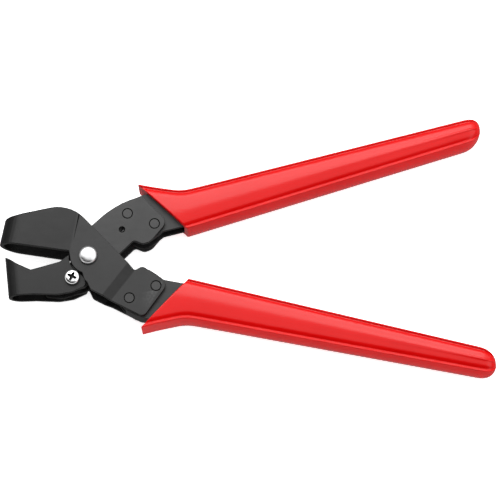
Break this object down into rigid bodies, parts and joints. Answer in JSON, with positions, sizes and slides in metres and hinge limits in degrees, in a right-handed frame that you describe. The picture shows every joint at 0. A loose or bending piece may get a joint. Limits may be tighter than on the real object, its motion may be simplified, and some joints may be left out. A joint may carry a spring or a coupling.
{
  "type": "notching pliers",
  "caption": "Hand notching pliers: a U-bent V-edged punch blade closes into a U-bent slotted die jaw, worked by two plastic-sleeved handles with an opening spring.",
  "frame": {"origin": "on the pivot axis, at the flat back face of the pivot rivet, level with the die's back plate", "axes": "+Z along the pivot axis towards the domed rivet head, +X towards the handle ends, jaws at -X, +Y towards the upper handle and the die jaw; the handles' bisector is turned 2 degrees about +Z from +X at rest"},
  "size_m": [0.246, 0.132, 0.0244],
  "materials": {
    "black_steel": "blackened sheet steel, satin",
    "blade_steel": "blackened tool steel, satin",
    "rivet_steel": "blackened rivet steel, ground flush",
    "red_sleeve": "dip-moulded soft plastic, semi-gloss",
    "bright_plate": "bright zinc or nickel plate",
    "plain_steel": "plain turned steel",
    "spring_wire": "bright drawn spring wire"
  },
  "bodies": {
    "die_half": {"die_body": "black_steel", "lower_handle_core": "black_steel", "lower_handle_sleeve": "red_sleeve", "lower_rivet_front": "rivet_steel", "lower_rivet_rear": "rivet_steel", "lower_bush_front": "plain_steel", "lower_bush_rear": "plain_steel", "pivot_rivet": "bright_plate", "pivot_spacer": "plain_steel", "opening_spring": "spring_wire"},
    "punch_half": {"punch_blade": "blade_steel", "carrier_plate_front": "black_steel", "carrier_plate_back": "black_steel", "upper_handle_core": "black_steel", "upper_handle_sleeve": "red_sleeve", "upper_rivet_front": "rivet_steel", "upper_rivet_rear": "rivet_steel", "upper_bush_front": "plain_steel", "upper_bush_rear": "plain_steel", "blade_screw": "bright_plate", "blade_nut": "bright_plate", "blade_spacer": "plain_steel"}
  },
  "joints": [
    {"name": "main_pivot", "type": "hinge", "parent": "die_half", "child": "punch_half", "pos_m": [0, 0, 0.0107], "axis": [0, 0, -1], "range_deg": [0, 24.5], "stiffness_Nm_per_rad": 1.2, "springref_deg": -34.38, "deforming": ["opening_spring"]}
  ]
}
